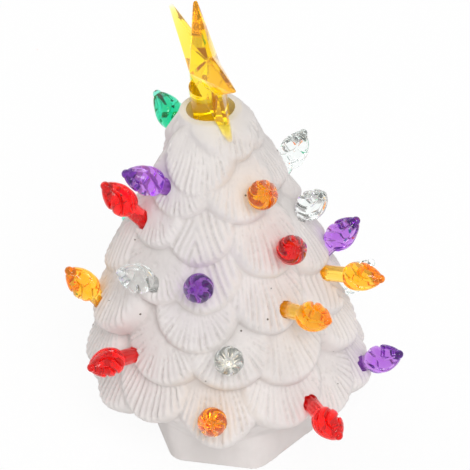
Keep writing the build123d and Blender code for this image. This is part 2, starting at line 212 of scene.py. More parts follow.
# Bisque: cloudy white with a fine grain and a few dark pinholes; texture scales are counts per metre
BISQUE = (0.72, 0.68, 0.662)
BISQUE_PALE = (0.78, 0.74, 0.722)
BISQUE_ROUGHNESS = 0.85
BISQUE_SPECULAR = 0.25
PATCH_SCALE = 90
PATCH_EDGES = (0.35, 0.7)
PIT_COLOR = (0.12, 0.10, 0.08)
PIT_SCALE = 210
PIT_SHARE = 0.6
PIT_SMALLEST = 0.03
PIT_SPREAD = 0.05
GRAIN_SCALE = 900
GRAIN_DEPTH = 0.15
GRAIN_STRENGTH = 0.25
bisque = material("bisque", BISQUE, BISQUE_ROUGHNESS, Specular_IOR_Level=BISQUE_SPECULAR)
shading = bisque.node_tree
patches = texture(shading, "ShaderNodeTexNoise", Scale=PATCH_SCALE, Detail=4)["Fac"].ramp(*PATCH_EDGES)
pale = mix_color(shading, patches, BISQUE, BISQUE_PALE)
# Painted light and shade: a vertex colour layer lays the lights' coloured glow round the pegs, and shade in
# the creases, over the bisque
glow = add_node(shading, "ShaderNodeVertexColor", layer_name="glow")
bisque_with_painted_light = mix_color(shading, glow["Alpha"], pale, glow["Color"])
pits = texture(shading, "ShaderNodeTexVoronoi", Scale=PIT_SCALE)
chance = add_node(shading, "ShaderNodeSeparateColor", {"Color": pits["Color"]})
pit_size = chance["Green"] * PIT_SPREAD + PIT_SMALLEST
pit = pits["Distance"].below(pit_size) * chance["Red"].above(1 - PIT_SHARE)
feed(shading, "Base Color", mix_color(shading, pit, bisque_with_painted_light, PIT_COLOR))
grain = texture(shading, "ShaderNodeTexNoise", Scale=GRAIN_SCALE, Detail=5)["Fac"]
relief(shading, grain - pit, GRAIN_DEPTH, GRAIN_STRENGTH)


def lip_radius(height):
    """The usual reach of a bough whose lip is at this height."""
    fall = (RIM_HEIGHT - height) / (RIM_HEIGHT - SKIRT_HEIGHT)
    return CROWN_RADIUS + (SKIRT_RADIUS - CROWN_RADIUS) * fall * (1 + SWELL * (1 - fall))


def between(skirt_value, crown_value, height):
    """A value that changes evenly from the skirt to the crown."""
    rise = (height - SKIRT_HEIGHT) / (RIM_HEIGHT - SKIRT_HEIGHT)
    return skirt_value + (crown_value - skirt_value) * rise


def smooth(low, high, value):
    """0 below low, 1 above high and an even S between them."""
    part = np.clip((value - low) / (high - low), 0, 1)
    return part * part * (3 - 2 * part)


def new_object(name, vertices, faces):
    """An object in the scene with this mesh."""
    mesh = bpy.data.meshes.new(name)
    mesh.from_pydata([tuple(v) for v in vertices], [], faces)
    mesh.update()
    piece = bpy.data.objects.new(name, mesh)
    bpy.context.scene.collection.objects.link(piece)
    return piece


def remove(piece):
    """Takes a piece and its mesh out of the file."""
    mesh = piece.data
    bpy.data.objects.remove(piece)
    bpy.data.meshes.remove(mesh)


def places(piece):
    """The piece's vertex places as an array of rows."""
    flat = np.empty(len(piece.data.vertices) * 3)
    piece.data.vertices.foreach_get("co", flat)
    return flat.reshape(-1, 3)


def ring_solid(name, rings):
    """A closed mesh through rings of equal counts, bottom to top, with flat ends."""
    count = len(rings[0])
    vertices = [point for ring in rings for point in ring]
    faces = [tuple(range(count))[::-1]]
    for level in range(len(rings) - 1):
        low = level * count
        for spoke in range(count):
            after = (spoke + 1) % count
            faces.append((low + spoke, low + after, low + count + after, low + count + spoke))
    faces.append(tuple(range(len(vertices) - count, len(vertices))))
    return new_object(name, vertices, faces)


def turned_rings(profile, spokes):
    """Rings about Z in metres through (radius, height) points in millimetres."""
    turns = [2 * math.pi * spoke / spokes for spoke in range(spokes)]
    return [[(r * MM * math.cos(t), r * MM * math.sin(t), z * MM) for t in turns] for r, z in profile]


def lathe(name, profile, spokes=96):
    """A closed solid turned about Z from (radius, height) points, bottom to top."""
    return ring_solid(name, turned_rings(profile, spokes))


def bake(piece, name):
    """The piece as its modifiers leave it, as a plain mesh object; the original is removed."""
    depsgraph = bpy.context.evaluated_depsgraph_get()
    mesh = bpy.data.meshes.new_from_object(piece.evaluated_get(depsgraph), depsgraph=depsgraph)
    mesh.name = name
    result = bpy.data.objects.new(name, mesh)
    bpy.context.scene.collection.objects.link(result)
    remove(piece)
    return result


def cut(piece, tool, operation="DIFFERENCE"):
    """The piece after a boolean with the tool, which is used up."""
    modifier = piece.modifiers.new("cut", "BOOLEAN")
    modifier.operation = operation
    modifier.solver = "MANIFOLD"
    modifier.object = tool
    result = bake(piece, piece.name)
    remove(tool)
    return result


# A bough's form: POINT and SIDE values and RANDOM_PHASE are in radians, LIP_FADE is a distance from the lip,
# FAN_FADE a share of the way from where the ribs meet, and ROOT_FADE a share of the length. RIDGE_ROUND and
# CHEVRON_ROUND round the ridge and the ribs over it, and RIDGE_RISE brings the ridge's top back to nothing.
BOUGH_SPOKES = 220
BOUGH_RINGS = 46
RING_CROWDING = 0.8
SIDE_LIMIT = 1.2
POINT_WIDTH = 0.5
POINT_RANGE = (1.0, 1.8)
LIP_WIDTH = 2.4
LIP_DROP = 4.0
RIDGE_ROUND = 0.004
RIDGE_RISE = 0.063
PILLOW_DROP = 1.0
TIP_DROP = 0.9
GROOVE_DEPTH = 1.8
GROOVE_GAP = 2.35
GROOVE_SHARPNESS = 1.8
CHEVRON_ROUND = 0.15
FAN_FADE = (0.15, 0.42)
LIP_FADE = (-0.4, 1.8)
ROOT_FADE = (0.65, 0.95)
RIB_WANDER = 0.3
WANDER_ALONG = 0.31
WANDER_ACROSS = 0.47
RIB_UNEVENNESS = 0.35
UNEVENNESS_BEAT = 0.83
RANDOM_PHASE = 6
FIRST_BOUGH_SEED = 11


def bough_mesh(name, pointed, ridge_drop, lean, fan, groove, seed):
    """A leaf in millimetres on the XY plane: tip at the origin, root along +Y, ribs on its upper side."""
    half_width = SKIRT_HALF_WIDTH
    length = half_width * BOUGH_LENGTH

    # The outline, as a reach from the middle of the round end, runs by straight sides to a small round root
    offset = length - BOUGH_ROOT - half_width
    turns = np.arange(BOUGH_SPOKES) * 2 * math.pi / BOUGH_SPOKES
    from_root = np.abs(np.arctan2(np.sin(turns), np.cos(turns)))
    tangent = math.acos((half_width - BOUGH_ROOT) / offset)
    root_turn = math.atan2(BOUGH_ROOT * math.sin(tangent), offset + BOUGH_ROOT * math.cos(tangent))
    root_chord = np.clip(BOUGH_ROOT**2 - (offset * np.sin(from_root)) ** 2, 0, None)
    root_arc = offset * np.cos(from_root) + np.sqrt(root_chord)
    side = half_width / np.cos(np.clip(from_root - tangent, -SIDE_LIMIT, 0))
    reach = np.where(from_root < root_turn, root_arc, np.where(from_root < tangent, side, half_width))
    beside_tip = 1 - np.exp(-(((math.pi - from_root) / POINT_WIDTH) ** 2))
    drawn_in = beside_tip * smooth(*POINT_RANGE, from_root)
    reach = reach * (1 - pointed * drawn_in)

    # The upper side falls from its ridge to its sides, its tip and its rounded lip
    shares = np.linspace(0, 1, BOUGH_RINGS + 1)[1:] ** RING_CROWDING
    x = shares[:, None] * (reach * np.sin(turns))[None, :]
    y = half_width + shares[:, None] * (reach * np.cos(turns))[None, :]
    inset = (1 - shares)[:, None] * reach[None, :]
    edge = np.clip(1 - inset / LIP_WIDTH, 0, 1)
    from_ridge = np.sqrt((x / half_width) ** 2 + RIDGE_ROUND) - RIDGE_RISE
    height = BOUGH_THICKNESS - LIP_DROP * (1 - np.sqrt(1 - edge**2))
    height = height - ridge_drop * from_ridge - PILLOW_DROP * (x / half_width) ** 2
    height = height - TIP_DROP * np.clip(1 - y / half_width, 0, 1) ** 2

    # The ribs lie between uneven grooves that lean from the ridge or fan out, and fade at lip and root
    random = np.random.RandomState(seed)
    if lean:
        turn = math.radians(lean)
        across = np.sqrt(x * x + CHEVRON_ROUND) * math.cos(turn) + y * math.sin(turn)
        shown = 1
    else:
        meeting = fan * length
        across = np.arctan2(x, meeting - y) * meeting
        shown = smooth(*FAN_FADE, np.hypot(x, meeting - y) / meeting)
    phases = [random.uniform(0, RANDOM_PHASE) for _ in range(4)]
    wander_along = RIB_WANDER * np.sin(WANDER_ALONG * y + phases[0])
    wander = wander_along + RIB_WANDER * np.sin(WANDER_ACROSS * x + phases[1])
    wave = 0.5 + 0.5 * np.cos(2 * math.pi * (across + wander) / GROOVE_GAP + phases[2])
    strength = 1 - RIB_UNEVENNESS + RIB_UNEVENNESS * np.sin(UNEVENNESS_BEAT * across + phases[3])
    mask = shown * smooth(*LIP_FADE, inset) * (1 - smooth(*ROOT_FADE, y / length))
    height = height - GROOVE_DEPTH * groove * wave**GROOVE_SHARPNESS * strength * mask

    vertices = [(0, half_width, float(height[0].mean()))]
    vertices += np.column_stack([x.ravel(), y.ravel(), height.ravel()]).tolist()
    floor = len(vertices)
    vertices += np.column_stack([x[-1], y[-1], np.zeros(BOUGH_SPOKES)]).tolist()
    faces = []
    for spoke in range(BOUGH_SPOKES):
        after = (spoke + 1) % BOUGH_SPOKES
        faces.append((0, 1 + after, 1 + spoke))
        for ring in range(BOUGH_RINGS):
            low = 1 + ring * BOUGH_SPOKES
            high = low + BOUGH_SPOKES
            faces.append((low + spoke, low + after, high + after, high + spoke))
    faces.append(tuple(range(floor, floor + BOUGH_SPOKES)))
    return new_object(name, vertices, faces)


def instancer(name, kinds, surface):
    """Geometry nodes that stand one of the kinds on each point, turned and stretched by its attributes."""
    group = bpy.data.node_groups.new(name, "GeometryNodeTree")
    group.interface.new_socket("Points", in_out="INPUT", socket_type="NodeSocketGeometry")
    group.interface.new_socket("Size", in_out="INPUT", socket_type="NodeSocketFloat")
    group.interface.new_socket("Pieces", in_out="OUTPUT", socket_type="NodeSocketGeometry")
    add = group.nodes.new
    link = group.links.new
    start = add("NodeGroupInput")
    gather = add("GeometryNodeJoinGeometry")
    for piece in reversed(kinds):
        source = add("GeometryNodeObjectInfo")
        source.inputs["Object"].default_value = piece
        wrap = add("GeometryNodeGeometryToInstance")
        link(source.outputs["Geometry"], wrap.inputs["Geometry"])
        link(wrap.outputs["Instances"], gather.inputs["Geometry"])
    named = {}
    for attribute, data_type in (("kind", "INT"), ("turn", "FLOAT_VECTOR"), ("stretch", "FLOAT_VECTOR")):
        named[attribute] = add("GeometryNodeInputNamedAttribute")
        named[attribute].data_type = data_type
        named[attribute].inputs["Name"].default_value = attribute
    sized = add("ShaderNodeVectorMath")
    sized.operation = "SCALE"
    link(named["stretch"].outputs["Attribute"], sized.inputs[0])
    link(start.outputs["Size"], sized.inputs["Scale"])
    stand = add("GeometryNodeInstanceOnPoints")
    stand.inputs["Pick Instance"].default_value = True
    link(start.outputs["Points"], stand.inputs["Points"])
    link(gather.outputs["Geometry"], stand.inputs["Instance"])
    link(named["kind"].outputs["Attribute"], stand.inputs["Instance Index"])
    link(named["turn"].outputs["Attribute"], stand.inputs["Rotation"])
    link(sized.outputs["Vector"], stand.inputs["Scale"])
    realize = add("GeometryNodeRealizeInstances")
    link(stand.outputs["Instances"], realize.inputs["Geometry"])
    paint = add("GeometryNodeSetMaterial")
    paint.inputs["Material"].default_value = surface
    link(realize.outputs["Geometry"], paint.inputs["Geometry"])
    link(paint.outputs["Geometry"], add("NodeGroupOutput").inputs["Pieces"])
    return group


def stand_on_points(name, frames, stretches, picks, kinds, size, surface):
    """One plain mesh of the kinds standing in the given frames; the kinds are used up."""
    points = new_object(name, [place.translation for place in frames], [])
    for attribute, data_type in (("turn", "FLOAT_VECTOR"), ("stretch", "FLOAT_VECTOR"), ("kind", "INT")):
        points.data.attributes.new(attribute, data_type, "POINT")
    attributes = points.data.attributes
    for index, place in enumerate(frames):
        attributes["turn"].data[index].vector = place.to_euler()
        attributes["stretch"].data[index].vector = stretches[index]
        attributes["kind"].data[index].value = picks[index]
    modifier = points.modifiers.new("instances", "NODES")
    modifier.node_group = instancer(name, kinds, surface)
    modifier[modifier.node_group.interface.items_tree["Size"].identifier] = size
    result = bake(points, name)
    for piece in kinds:
        remove(piece)
    return result


def frame_of(origin, x_axis, y_axis, z_axis):
    """The matrix that stands a piece at the origin on these axes."""
    turn = Matrix((x_axis, y_axis, z_axis)).transposed().to_4x4()
    turn.translation = origin
    return turn


bough_frames = []
bough_stretches = []
bough_picks = []
for azimuth, share, reach, kind in BOUGHS:
    turn = math.radians(azimuth)
    lip_height = share * RIM_HEIGHT
    slope = math.radians(between(SKIRT_SLOPE, CROWN_SLOPE, lip_height))
    outward = Vector((math.sin(turn), -math.cos(turn), 0))
    sideways = Vector((math.cos(turn), math.sin(turn), 0))
    normal = outward * math.cos(slope) + Vector((0, 0, math.sin(slope)))
    lip = outward * lip_radius(lip_height) * reach + Vector((0, 0, lip_height))
    origin = (lip - normal * BOUGH_THICKNESS) * MM
    bough_frames.append(frame_of(origin, sideways, normal.cross(sideways), normal))
    width = between(SKIRT_HALF_WIDTH, CROWN_HALF_WIDTH, lip_height) / SKIRT_HALF_WIDTH
    bough_stretches.append((width, width, 1))
    bough_picks.append(kind)
leaves = [
    bough_mesh(f"bough_kind_{index}", *shape, FIRST_BOUGH_SEED + index)
    for index, shape in enumerate(BOUGH_KINDS)
]
boughs = stand_on_points("boughs", bough_frames, bough_stretches, bough_picks, leaves, MM, bisque)

# Little of a bough stands above the sloping crown
place = places(boughs)
beyond_rim = np.clip(np.hypot(place[:, 0], place[:, 1]) - RIM_RADIUS * MM, 0, None)
crown = RIM_HEIGHT * MM - beyond_rim * CROWN_FALL / CROWN_WIDTH
above = np.clip(place[:, 2] - crown, 0, None)
place[:, 2] = np.minimum(place[:, 2], crown) + CROWN_KEEP * above
boughs.data.vertices.foreach_set("co", place.ravel())

core_points = [(lip_radius(share * RIM_HEIGHT) - BOUGH_RISE, share * RIM_HEIGHT) for share in CORE_SHARES]
core = lathe("core", [(FLARE_RADIUS, UNDERSIDE_HEIGHT), *core_points, (RIM_RADIUS, RIM_HEIGHT)])

# The foot has round corners, and its lower edge is rounded in two steps
FOOT_SIDES = 6
FOOT_CORNER = 27.0
FOOT_ROUNDING = 6.0
FOOT_TURN = -136
FOOT_EDGE = 0.7
FOOT_EDGE_STEP = 0.2
CORNER_STEPS = 8
corner_turn = 360 / FOOT_SIDES
inner_corner = FOOT_CORNER - FOOT_ROUNDING / math.cos(math.pi / FOOT_SIDES)
foot_outline = []
for corner in range(FOOT_SIDES):
    middle = math.radians(FOOT_TURN + corner_turn * corner)
    for step in range(CORNER_STEPS + 1):
        turn = middle + math.radians(corner_turn * step / CORNER_STEPS - corner_turn / 2)
        x = inner_corner * math.cos(middle) + FOOT_ROUNDING * math.cos(turn)
        y = inner_corner * math.sin(middle) + FOOT_ROUNDING * math.sin(turn)
        foot_outline.append((x, y))
foot_levels = (
    (FOOT_EDGE, 0.0),
    (FOOT_EDGE_STEP, FOOT_EDGE_STEP),
    (0.0, FOOT_EDGE),
    (0.0, core_points[0][1]),
)
foot_rings = []
for inset, level in foot_levels:
    narrow = 1 - inset / FOOT_CORNER
    foot_rings.append([(x * narrow * MM, y * narrow * MM, level * MM) for x, y in foot_outline])
foot = ring_solid("foot", foot_rings)

bpy.ops.object.select_all(action="DESELECT")
for piece in (core, foot, boughs):
    piece.select_set(True)
bpy.context.view_layer.objects.active = boughs
bpy.ops.object.join()
VOXEL = 0.4
SOFTENING = 0.25
BODY_TRIANGLES = 180000
FLAT_DEPTH = 0.25
remesh = boughs.modifiers.new("fuse", "REMESH")
remesh.mode = "VOXEL"
remesh.voxel_size = VOXEL * MM
soften = boughs.modifiers.new("soften", "SMOOTH")
soften.factor = SOFTENING
soften.iterations = 1
tree_body = bake(boughs, "ceramic_tree")
thin = tree_body.modifiers.new("thin", "DECIMATE")
thin.ratio = min(1.0, BODY_TRIANGLES / (2 * len(tree_body.data.polygons)))
tree_body = bake(tree_body, "ceramic_tree")

# The foot stands flat
place = places(tree_body)
place[place[:, 2] < FLAT_DEPTH * MM, 2] = 0
tree_body.data.vertices.foreach_set("co", place.ravel())

FOOT_BORE = 20.0
LEDGE_HEIGHT = 11.2
LEDGE_WIDTH = 2.0
LEDGE_THICKNESS = 2.8
OVERRUN = 2.0
hollow_points = [(radius - WALL, height) for radius, height in core_points]
hollow = lathe(
    "hollow",
    [
        (FOOT_BORE, -OVERRUN),
        (FOOT_BORE, LEDGE_HEIGHT),
        (FOOT_BORE - LEDGE_WIDTH, LEDGE_HEIGHT),
        (FOOT_BORE - LEDGE_WIDTH, LEDGE_HEIGHT + LEDGE_THICKNESS),
        *hollow_points,
        (STAR_HOLE_RADIUS, RIM_HEIGHT - NECK_DEPTH),
        (STAR_HOLE_RADIUS, RIM_HEIGHT + OVERRUN),
    ],
)
tree_body = cut(tree_body, hollow)

# Each light's frame: where its head meets its peg, with Z out along the peg
HEAD_LENGTH = 11.3
NUB_RISE = 1.0
PEG_LENGTH = 10.0
PEG_RADIUS = 2.35
HOLE_RADIUS = 2.5
HOLE_SPOKES = 32
pull_axes = {joint["child"]: Vector(joint["axis"]).normalized() for joint in frame["joints"]}
light_names = sorted(name for name in frame["nodes"] if "_light_" in name)
light_frames = {}
for name in light_names:
    along = pull_axes[name]
    across = along.cross(Vector((0, 0, 1))).normalized()
    upward = along.cross(across)
    points = [v.co for v in frame["nodes"][name].data.vertices]
    spans = [[p.dot(axis) for p in points] for axis in (across, upward)]
    middle = [(min(span) + max(span)) / 2 for span in spans]
    tip = max(p.dot(along) for p in points)
    origin = across * middle[0] + upward * middle[1] + along * (tip - (HEAD_LENGTH + NUB_RISE) * MM)
    light_frames[name] = frame_of(origin, across, upward, along)
hole_profile = [(HOLE_RADIUS, -PEG_LENGTH - OVERRUN), (HOLE_RADIUS, PEG_LENGTH / 2)]
hole = lathe("hole", hole_profile, HOLE_SPOKES)
count = len(light_frames)
holes = stand_on_points(
    "peg_holes", list(light_frames.values()), [(1, 1, 1)] * count, [0] * count, [hole], 1.0, bisque
)
tree_body = cut(tree_body, holes)


def finish(piece, surface, smooth_angle):
    """Gives the piece its one material and shades it smooth, up to an angle between faces."""
    piece.data.materials.clear()
    piece.data.materials.append(surface)
    piece.data.shade_smooth()
    piece.data.set_sharp_from_angle(angle=math.radians(smooth_angle))


BISQUE_SMOOTH_ANGLE = 50
finish(tree_body, bisque, BISQUE_SMOOTH_ANGLE)
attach(tree_body, "tree")
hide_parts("tree_body")

# Peg lights
# One-piece mouldings in clear coloured plastic: a round fluted peg and a head of twisted petals with a nub.
# Each head's petals are turned a little differently, and each light pulls straight out of its hole.

# TWIST, PETAL_SPREAD and PETAL_TURN are in radians. PETAL_ROUND and depths of creases and flutes are shares
# of the radius, and CREASE_WIDTH is a share of a petal. NUB_STEPS passes the last ring, so the nub ends flat.
HEAD_RADIUS = 4.25
HEAD_WIDEST = 4.1
HEAD_SPOKES = 160
PETAL_LENGTH = 10.9
PETAL_STEPS = 44
PETAL_FADE = 0.6
NECK_RADIUS = 1.3
FULLNESS = 0.78
PETALS = 6
TWIST = 1.4
TWIST_END = 8.0
CREASE_DEPTH = 0.2
CREASE_WIDTH = 0.09
PETAL_ROUND = 0.08
PETAL_SPREAD = 0.14
PETAL_TURN = 2.4
NUB_RINGS = 9
NUB_STEPS = 8.2
PEG_EDGE = 0.3
PEG_FLUTES = 9
FLUTE_DEPTH = 0.07
LIGHT_SMOOTH_ANGLE = 60

# Each colour: what it throws on the ceramic and gives off as its painted glow, what the plastic lets through,
# how densely it is dyed, the strength of its painted glow
LIGHT_COLORS = {
    "green": ((0.02, 0.62, 0.30), (0.04, 0.90, 0.74), 600, 0.03),
    "purple": ((0.44, 0.20, 0.72), (0.71, 0.30, 0.87), 310, 0.04),
    "red": ((0.90, 0.03, 0.03), (0.985, 0.05, 0.04), 700, 0.05),
    "amber": ((0.98, 0.52, 0.02), (1.0, 0.82, 0.02), 480, 0.08),
    "clear": ((0.97, 0.98, 0.98), (0.89, 0.93, 0.915), 110, 0.035),
}
PLASTIC_SURFACE = (0.99, 0.99, 0.99)
PLASTIC_IOR = 1.4
PLASTIC_ROUGHNESS = 0.02
FLOW_SCALE = 350
FLOW_ROUGHNESS = 0.06
FLOW_DEPTH = 0.1
FLOW_STRENGTH = 0.15


def petal_head(name, turn_start):
    """A peg along -Z and a petalled head along +Z, joined at the origin."""
    # Levels from the peg's end to the nub, as height, radius and how far the petals show
    levels = [
        (-PEG_LENGTH, PEG_RADIUS - PEG_EDGE, 0),
        (-PEG_LENGTH + PEG_EDGE, PEG_RADIUS, 0),
        (-2 * PEG_EDGE, PEG_RADIUS, 0),
    ]
    for step in range(PETAL_STEPS + 1):
        height = PETAL_LENGTH * step / PETAL_STEPS
        if height < HEAD_WIDEST:
            swell = math.sqrt(1 - (1 - height / HEAD_WIDEST) ** 2)
            radius = PEG_RADIUS + (HEAD_RADIUS - PEG_RADIUS) * swell
        else:
            taper = (height - HEAD_WIDEST) / (PETAL_LENGTH - HEAD_WIDEST)
            full = math.cos(math.pi / 2 * taper) ** FULLNESS if taper < 1 else 0
            radius = NECK_RADIUS + (HEAD_RADIUS - NECK_RADIUS) * full
        petals = math.sin(math.pi * step / PETAL_STEPS) ** PETAL_FADE if 0 < step < PETAL_STEPS else 0
        levels.append((height, radius, petals))
    nub_middle = HEAD_LENGTH + NUB_RISE - NECK_RADIUS
    for step in range(NUB_RINGS):
        turn = math.pi / 2 * step / NUB_STEPS
        levels.append((nub_middle + NECK_RADIUS * math.sin(turn), NECK_RADIUS * math.cos(turn), 0))

    rings = []
    for height, radius, petals in levels:
        ring = []
        for spoke in range(HEAD_SPOKES):
            turn = 2 * math.pi * spoke / HEAD_SPOKES
            wound = turn - TWIST * smooth(0, TWIST_END, height)
            uneven = wound + PETAL_SPREAD * math.sin(wound + turn_start)
            swirl = (PETALS * (uneven + turn_start) / (2 * math.pi)) % 1
            from_crease = min(swirl, 1 - swirl)
            crease = CREASE_DEPTH * math.exp(-((from_crease / CREASE_WIDTH) ** 2))
            rounding = PETAL_ROUND * (1 - 2 * from_crease) ** 2
            flute = FLUTE_DEPTH * (0.5 + 0.5 * math.cos(PEG_FLUTES * turn)) if height < 0 else 0
            size = radius * (1 - petals * (crease + rounding) - flute) * MM
            ring.append((size * math.cos(turn), size * math.sin(turn), height * MM))
        rings.append(ring)
    return ring_solid(name, rings)


def clear_plastic(name, thrown, kept, density, painted_glow):
    """Glossy see-through plastic that takes up colour with depth, with faint flow marks and a faint painted
    glow.
    """
    surface = material(
        name,
        PLASTIC_SURFACE,
        PLASTIC_ROUGHNESS,
        Transmission_Weight=1.0,
        IOR=PLASTIC_IOR,
        # Painted glow: the plastic gives off a faint light in the colour that it throws
        Emission_Color=opaque(thrown),
        Emission_Strength=painted_glow,
    )
    shading = surface.node_tree
    dye = add_node(shading, "ShaderNodeVolumeAbsorption", {"Color": opaque(kept), "Density": density})
    shading.links.new(dye["Volume"].output, shading.nodes["Material Output"].inputs["Volume"])
    flow = texture(shading, "ShaderNodeTexNoise", Scale=FLOW_SCALE, Detail=2)["Fac"]
    feed(shading, "Roughness", flow * FLOW_ROUGHNESS + PLASTIC_ROUGHNESS)
    relief(shading, flow, FLOW_DEPTH, FLOW_STRENGTH)
    return surface


plastics = {color: clear_plastic(f"{color}_plastic", *look) for color, look in LIGHT_COLORS.items()}
for number, name in enumerate(light_names):
    color = name.split("_")[0]
    bulb = petal_head(f"bulb_{name}", PETAL_TURN * number)
    bulb.data.transform(light_frames[name])
    finish(bulb, plastics[color], LIGHT_SMOOTH_ANGLE)
    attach(bulb, name)
    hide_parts(name)

# Painted light and shade on the ceramic: the colour that the lights throw round their pegs, painted over
# shade painted in its creases
GLOW_REACH = 4.6
GLOW_HEIGHT = 3.0
GLOW_TINT = 0.35
GLOW_BASE = 0.60
GLOW_SHARE = 0.5
SHADE_COLOR = (0.46, 0.42, 0.40)
SHADE_DEPTH = 0.22
SHADE_SHARE = 0.3
SHADE_ROUNDS = 6
SHADE_HEIGHTS = (12.0, 18.0)
LEAST_COVER = 1e-6


def crease_depth(piece, rounds):
    """How far each vertex lies below its smoothed surroundings, in millimetres."""
    mesh = piece.data
    count = len(mesh.vertices)
    edges = np.empty(len(mesh.edges) * 2, dtype=np.int32)
    mesh.edges.foreach_get("vertices", edges)
    edges = edges.reshape(-1, 2)
    here = np.concatenate([edges[:, 0], edges[:, 1]])
    there = np.concatenate([edges[:, 1], edges[:, 0]])
    neighbours = np.bincount(here, minlength=count)[:, None]
    normals = np.empty(count * 3)
    mesh.vertices.foreach_get("normal", normals)
    start = places(piece) / MM
    eased = start
    for _ in range(rounds):
        sums = [np.bincount(here, weights=eased[there, axis], minlength=count) for axis in range(3)]
        eased = np.column_stack(sums) / neighbours
    return ((eased - start) * normals.reshape(-1, 3)).sum(axis=1)


painted_light_layer = tree_body.data.color_attributes.new("glow", "FLOAT_COLOR", "POINT")
place = places(tree_body) / MM
total = np.zeros(len(place))
colors = np.zeros((len(place), 3))
# Painted light: each coloured light's colour is laid on the ceramic near its peg
for name, at in light_frames.items():
    color = name.split("_")[0]
    if color == "clear":
        continue
    centre = np.array(at.translation / MM + at.col[2].to_3d() * GLOW_HEIGHT)
    near = np.exp(-((np.linalg.norm(place - centre, axis=1) / GLOW_REACH) ** 2))
    total += near
    colors += near[:, None] * np.array(LIGHT_COLORS[color][0])
colors = GLOW_TINT * colors / np.maximum(total, LEAST_COVER)[:, None] + GLOW_BASE
thrown = (np.clip(total, 0, 1) * GLOW_SHARE)[:, None]
# Painted shade: the ceramic is darkened where it lies deep in its creases, fading out towards the foot
creased = np.clip(crease_depth(tree_body, SHADE_ROUNDS) / SHADE_DEPTH, 0, 1)
shade = (creased * smooth(*SHADE_HEIGHTS, place[:, 2]) * SHADE_SHARE)[:, None]
cover = 1 - (1 - thrown) * (1 - shade)
colors = colors * thrown + np.array(SHADE_COLOR) * shade * (1 - thrown)
layer = np.column_stack([colors / np.maximum(cover, LEAST_COVER), cover])
painted_light_layer.data.foreach_set("color", layer.ravel())

# Star
# A faceted five-point star moulded in clear yellow plastic, on a split stem that stands in the top hole.
# Its facets have softened edges, and it is notched where its lower points pass the rim.
STAR_POINTS = 5
STAR_RADIUS = 23.4
STAR_WAIST = 0.42
STAR_HALF_EDGE = 0.6
STAR_HALF_DEPTH = 4.6
STAR_TURN = math.radians(20.8)
STAR_LEAN = math.radians(5.0)
STAR_TIP = math.radians(5.0)
STAR_HEIGHT = 14.7
STAR_EDGE = 0.25
STAR_SMOOTH_ANGLE = 20
STEM_RADIUS = 5.2
STEM_DEPTH = 9.0
STEM_TOP = 8.5
STEM_SLOT = 1.2
STEM_EDGE = 0.4
SEAT_CLEARANCE = 0.3
star_out = Vector((math.sin(STAR_TURN), -math.cos(STAR_TURN), 0))
star_side = Vector((math.cos(STAR_TURN), math.sin(STAR_TURN), 0))
star_up = (Vector((0, 0, 1)) + star_out * math.tan(STAR_LEAN) - star_side * math.tan(STAR_TIP)).normalized()
star_normal = star_out.cross(star_up).normalized()
star_across = star_up.cross(star_normal)
star_foot = Vector((0, 0, RIM_HEIGHT * MM))
corners = 2 * STAR_POINTS
star_vertices = []
for side in (1, -1):
    for corner in range(corners):
        reach = STAR_RADIUS if corner % 2 == 0 else STAR_RADIUS * STAR_WAIST
        turn = math.radians(90 + 360 / corners * corner)
        star_vertices.append(
            (reach * math.cos(turn) * MM, reach * math.sin(turn) * MM, side * STAR_HALF_EDGE * MM)
        )
front_peak = len(star_vertices)
back_peak = front_peak + 1
star_vertices.append((0, 0, STAR_HALF_DEPTH * MM))
star_vertices.append((0, 0, -STAR_HALF_DEPTH * MM))
star_faces = []
for corner in range(corners):
    after = (corner + 1) % corners
    star_faces.append((corner, after, front_peak))
    star_faces.append((corners + after, corners + corner, back_peak))
    star_faces.append((corner, corners + corner, corners + after, after))
star = new_object("star", star_vertices, star_faces)
star.data.transform(frame_of(star_foot + star_up * STAR_HEIGHT * MM, star_across, star_up, star_normal))
soft_edges = star.modifiers.new("soft_edges", "BEVEL")
soft_edges.width = STAR_EDGE * MM
soft_edges.segments = 2
soft_edges.limit_method = "NONE"
star = bake(star, "star")
stem_profile = [
    (STEM_RADIUS - STEM_EDGE, -STEM_DEPTH),
    (STEM_RADIUS, STEM_EDGE - STEM_DEPTH),
    (STEM_RADIUS, STEM_TOP),
]
stem = lathe("stem", stem_profile)
slot_x = STEM_SLOT / 2 * MM
slot_y = (STEM_RADIUS + OVERRUN) * MM
slot_corners = ((-slot_x, -slot_y), (slot_x, -slot_y), (slot_x, slot_y), (-slot_x, slot_y))
slot = ring_solid("slot", [[(x, y, z * MM) for x, y in slot_corners] for z in (-STEM_DEPTH - OVERRUN, 0)])
stem = cut(stem, slot)
stem.data.transform(frame_of(star_foot, star_across, star_up.cross(star_across), star_up))
star = cut(star, stem, "UNION")

# The star clears the rim all round, so the notch is a ring turned from a closed outline
NOTCH_SPOKES = 96
notch_inner = STAR_HOLE_RADIUS - SEAT_CLEARANCE
notch_top = RIM_HEIGHT + SEAT_CLEARANCE
notch_outer = RIM_RADIUS + CROWN_WIDTH + SEAT_CLEARANCE
notch_profile = (
    (notch_inner, RIM_HEIGHT - NECK_DEPTH),
    (notch_outer, RIM_HEIGHT - CROWN_FALL - NECK_DEPTH),
    (notch_outer, notch_top - CROWN_FALL),
    (RIM_RADIUS + SEAT_CLEARANCE, notch_top),
    (notch_inner, notch_top),
)
notch_vertices = [point for ring in turned_rings(notch_profile, NOTCH_SPOKES) for point in ring]
notch_faces = []
for level in range(len(notch_profile)):
    low = level * NOTCH_SPOKES
    high = (level + 1) % len(notch_profile) * NOTCH_SPOKES
    for spoke in range(NOTCH_SPOKES):
        after = (spoke + 1) % NOTCH_SPOKES
        notch_faces.append((low + spoke, low + after, high + after, high + spoke))
star = cut(star, new_object("notch", notch_vertices, notch_faces))

